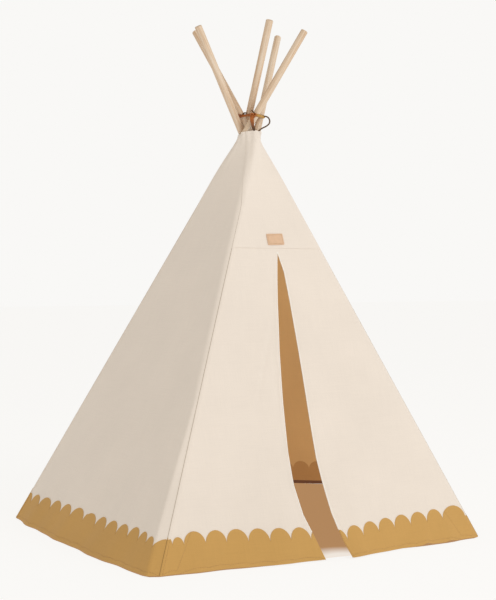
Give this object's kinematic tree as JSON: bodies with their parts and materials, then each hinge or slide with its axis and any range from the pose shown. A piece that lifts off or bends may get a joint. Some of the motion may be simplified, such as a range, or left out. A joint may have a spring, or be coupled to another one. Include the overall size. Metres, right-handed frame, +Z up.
{
  "type": "teepee tent",
  "caption": "Child's teepee tent: wooden poles crossing through a lined canvas cover with a slit door, two flaps, a scalloped hem band and a leather lace.",
  "frame": {"origin": "on the ground, straight below the crossing of the poles", "axes": "+Z up, the door faces -Y, +X to the right of somebody who faces the door"},
  "size_m": [1.2159, 1.1636, 1.4067],
  "materials": {
    "pole_wood": "sanded pine, clear matt",
    "sleeve_canvas": "cotton canvas",
    "ochre_lining": "cotton lining",
    "ochre_band": "cotton canvas",
    "label_leather": "smooth vegetable-tanned leather",
    "lace_leather": "oiled leather thong",
    "cream_canvas": "plain-woven cotton canvas"
  },
  "bodies": {
    "crown": {"crown": "cream_canvas", "lace_wrap": "lace_leather", "lace_knot": "lace_leather", "lace_loop": "lace_leather", "lace_tail": "lace_leather"},
    "front_left_pole": {"front_left_pole": "pole_wood", "front_left_sleeve": "sleeve_canvas"},
    "front_right_pole": {"front_right_pole": "pole_wood", "front_right_sleeve": "sleeve_canvas"},
    "right_pole": {"right_pole": "pole_wood", "right_sleeve": "sleeve_canvas"},
    "rear_pole": {"rear_pole": "pole_wood", "rear_sleeve": "sleeve_canvas"},
    "left_pole": {"left_pole": "pole_wood", "left_sleeve": "sleeve_canvas"},
    "front_left_half": {"header_left_canvas": "cream_canvas", "front_left_side_canvas": "cream_canvas", "front_left_header_lining": "ochre_lining", "front_left_side_lining": "ochre_lining", "front_left_side_hem_band": "ochre_band"},
    "front_right_half": {"header_right_canvas": "cream_canvas", "front_right_side_canvas": "cream_canvas", "front_right_header_lining": "ochre_lining", "front_right_side_lining": "ochre_lining", "front_right_side_hem_band": "ochre_band", "label": "label_leather"},
    "right_wall_by_front_right_pole": {"right_wall_by_front_right_pole_canvas": "cream_canvas", "right_wall_by_front_right_pole_lining": "ochre_lining", "right_wall_by_front_right_pole_hem_band": "ochre_band"},
    "right_wall_by_right_pole": {"right_wall_by_right_pole_canvas": "cream_canvas", "right_wall_by_right_pole_lining": "ochre_lining", "right_wall_by_right_pole_hem_band": "ochre_band"},
    "rear_right_wall_by_right_pole": {"rear_right_wall_by_right_pole_canvas": "cream_canvas", "rear_right_wall_by_right_pole_lining": "ochre_lining", "rear_right_wall_by_right_pole_hem_band": "ochre_band"},
    "rear_right_wall_by_rear_pole": {"rear_right_wall_by_rear_pole_canvas": "cream_canvas", "rear_right_wall_by_rear_pole_lining": "ochre_lining", "rear_right_wall_by_rear_pole_hem_band": "ochre_band"},
    "rear_left_wall_by_rear_pole": {"rear_left_wall_by_rear_pole_canvas": "cream_canvas", "rear_left_wall_by_rear_pole_lining": "ochre_lining", "rear_left_wall_by_rear_pole_hem_band": "ochre_band"},
    "rear_left_wall_by_left_pole": {"rear_left_wall_by_left_pole_canvas": "cream_canvas", "rear_left_wall_by_left_pole_lining": "ochre_lining", "rear_left_wall_by_left_pole_hem_band": "ochre_band"},
    "left_wall_by_left_pole": {"left_wall_by_left_pole_canvas": "cream_canvas", "left_wall_by_left_pole_lining": "ochre_lining", "left_wall_by_left_pole_hem_band": "ochre_band"},
    "left_wall_by_front_left_pole": {"left_wall_by_front_left_pole_canvas": "cream_canvas", "left_wall_by_front_left_pole_lining": "ochre_lining", "left_wall_by_front_left_pole_hem_band": "ochre_band"},
    "door_left": {"door_left_canvas": "cream_canvas", "door_left_lining": "ochre_lining", "door_left_hem_band": "ochre_band"},
    "door_right": {"door_right_canvas": "cream_canvas", "door_right_lining": "ochre_lining", "door_right_hem_band": "ochre_band"}
  },
  "joints": [
    {"name": "tent_fold", "type": "hinge", "parent": "crown", "child": "front_left_pole", "pos_m": [0.03401, -0.00616, 1.15], "axis": [0.7007, -0.7134, 0], "range_deg": [0, 26.31], "deforming": ["front_left_sleeve", "crown", "lace_wrap", "lace_knot", "lace_loop", "lace_tail"]},
    {"name": "front_right_pole_fold", "type": "hinge", "parent": "crown", "child": "front_right_pole", "pos_m": [-0.01688, 0.01692, 1.15], "axis": [0.7087, 0.7055, 0], "range_deg": [0, 26.26], "deforming": ["front_right_sleeve"]},
    {"name": "right_pole_fold", "type": "hinge", "parent": "crown", "child": "right_pole", "pos_m": [-0.04504, 0.0001, 1.15], "axis": [-0.3875, 0.9219, 0], "range_deg": [0, 28.36], "deforming": ["right_sleeve"]},
    {"name": "rear_pole_fold", "type": "hinge", "parent": "crown", "child": "rear_pole", "pos_m": [0.00756, 0.01747, 1.15], "axis": [-0.9993, -0.0384, 0], "range_deg": [0, 27.19], "deforming": ["rear_sleeve"]},
    {"name": "left_pole_fold", "type": "hinge", "parent": "crown", "child": "left_pole", "pos_m": [0.01115, -0.03145, 1.15], "axis": [-0.4928, -0.8701, 0], "range_deg": [0, 28.15], "deforming": ["left_sleeve"]},
    {"name": "front_left_half_swing", "type": "hinge", "parent": "front_left_pole", "child": "front_left_half", "pos_m": [-0.41865, -0.45075, 0.02], "axis": [-0.3493, -0.3431, -0.872], "range_deg": [0, 63.69], "deforming": ["header_left_canvas", "front_left_side_canvas", "front_left_header_lining", "front_left_side_lining", "front_left_side_hem_band"]},
    {"name": "front_right_half_swing", "type": "hinge", "parent": "front_right_pole", "child": "front_right_half", "pos_m": [0.42972, -0.4317, 0.02], "axis": [-0.3448, 0.3464, 0.8724], "range_deg": [0, 100.58], "deforming": ["header_right_canvas", "front_right_side_canvas", "front_right_header_lining", "front_right_side_lining", "front_right_side_hem_band", "label"]},
    {"name": "right_wall_by_front_right_pole_swing", "type": "hinge", "parent": "front_right_pole", "child": "right_wall_by_front_right_pole", "pos_m": [0.42972, -0.4317, 0.02], "axis": [0.3448, -0.3464, -0.8724], "range_deg": [0, 47.47], "deforming": ["right_wall_by_front_right_pole_canvas", "right_wall_by_front_right_pole_lining", "right_wall_by_front_right_pole_hem_band"]},
    {"name": "right_wall_by_right_pole_swing", "type": "hinge", "parent": "right_pole", "child": "right_wall_by_right_pole", "pos_m": [0.58969, 0.26693, 0.02], "axis": [-0.4797, -0.2016, 0.854], "range_deg": [0, 112.87], "deforming": ["right_wall_by_right_pole_canvas", "right_wall_by_right_pole_lining", "right_wall_by_right_pole_hem_band"]},
    {"name": "rear_right_wall_by_right_pole_swing", "type": "hinge", "parent": "right_pole", "child": "rear_right_wall_by_right_pole", "pos_m": [0.58969, 0.26693, 0.02], "axis": [0.4797, 0.2016, -0.854], "range_deg": [0, 124.35], "deforming": ["rear_right_wall_by_right_pole_canvas", "rear_right_wall_by_right_pole_lining", "rear_right_wall_by_right_pole_hem_band"]},
    {"name": "rear_right_wall_by_rear_pole_swing", "type": "hinge", "parent": "rear_pole", "child": "rear_right_wall_by_rear_pole", "pos_m": [-0.0177, 0.67432, 0.02], "axis": [0.0193, -0.5025, 0.8644], "range_deg": [0, 35.31], "deforming": ["rear_right_wall_by_rear_pole_canvas", "rear_right_wall_by_rear_pole_lining", "rear_right_wall_by_rear_pole_hem_band"]},
    {"name": "rear_left_wall_by_rear_pole_swing", "type": "hinge", "parent": "rear_pole", "child": "rear_left_wall_by_rear_pole", "pos_m": [-0.0177, 0.67432, 0.02], "axis": [-0.0193, 0.5025, -0.8644], "range_deg": [0, 56.07], "deforming": ["rear_left_wall_by_rear_pole_canvas", "rear_left_wall_by_rear_pole_lining", "rear_left_wall_by_rear_pole_hem_band"]},
    {"name": "rear_left_wall_by_left_pole_swing", "type": "hinge", "parent": "left_pole", "child": "rear_left_wall_by_left_pole", "pos_m": [-0.58314, 0.30511, 0.02], "axis": [0.4501, -0.2549, 0.8558], "range_deg": [0, 94.66], "deforming": ["rear_left_wall_by_left_pole_canvas", "rear_left_wall_by_left_pole_lining", "rear_left_wall_by_left_pole_hem_band"]},
    {"name": "left_wall_by_left_pole_swing", "type": "hinge", "parent": "left_pole", "child": "left_wall_by_left_pole", "pos_m": [-0.58314, 0.30511, 0.02], "axis": [-0.4501, 0.2549, -0.8558], "range_deg": [0, 80.43], "deforming": ["left_wall_by_left_pole_canvas", "left_wall_by_left_pole_lining", "left_wall_by_left_pole_hem_band"]},
    {"name": "left_wall_by_front_left_pole_swing", "type": "hinge", "parent": "front_left_pole", "child": "left_wall_by_front_left_pole", "pos_m": [-0.41865, -0.45075, 0.02], "axis": [0.3493, 0.3431, 0.872], "range_deg": [0, 80.43], "deforming": ["left_wall_by_front_left_pole_canvas", "left_wall_by_front_left_pole_lining", "left_wall_by_front_left_pole_hem_band"]},
    {"name": "door_left_swing", "type": "hinge", "parent": "front_left_half", "child": "door_left", "pos_m": [-0.38617, -0.46954, 0.00467], "axis": [-0.4349, -0.3392, -0.8342], "range_deg": [0, 150], "deforming": ["door_left_canvas", "door_left_lining", "door_left_hem_band"]},
    {"name": "door_right_swing", "type": "hinge", "parent": "front_right_half", "child": "door_right", "pos_m": [0.39765, -0.45233, 0.00467], "axis": [-0.4494, 0.3198, 0.8342], "range_deg": [0, 150], "deforming": ["door_right_canvas", "door_right_lining", "door_right_hem_band"]}
  ],
  "couplings": [
    {"joint": "front_right_pole_fold", "follows": "tent_fold", "ratio": 0.99786},
    {"joint": "right_pole_fold", "follows": "tent_fold", "ratio": 1.0776},
    {"joint": "rear_pole_fold", "follows": "tent_fold", "ratio": 1.0332},
    {"joint": "left_pole_fold", "follows": "tent_fold", "ratio": 1.0697},
    {"joint": "front_left_half_swing", "follows": "tent_fold", "ratio": 2.4089},
    {"joint": "front_right_half_swing", "follows": "tent_fold", "ratio": 3.811},
    {"joint": "right_wall_by_front_right_pole_swing", "follows": "tent_fold", "ratio": 1.7927},
    {"joint": "right_wall_by_right_pole_swing", "follows": "tent_fold", "ratio": 4.2779},
    {"joint": "rear_right_wall_by_right_pole_swing", "follows": "tent_fold", "ratio": 4.7145},
    {"joint": "rear_right_wall_by_rear_pole_swing", "follows": "tent_fold", "ratio": 1.3306},
    {"joint": "rear_left_wall_by_rear_pole_swing", "follows": "tent_fold", "ratio": 2.1195},
    {"joint": "rear_left_wall_by_left_pole_swing", "follows": "tent_fold", "ratio": 3.5858},
    {"joint": "left_wall_by_left_pole_swing", "follows": "tent_fold", "ratio": 3.0453},
    {"joint": "left_wall_by_front_left_pole_swing", "follows": "tent_fold", "ratio": 3.0453}
  ]
}
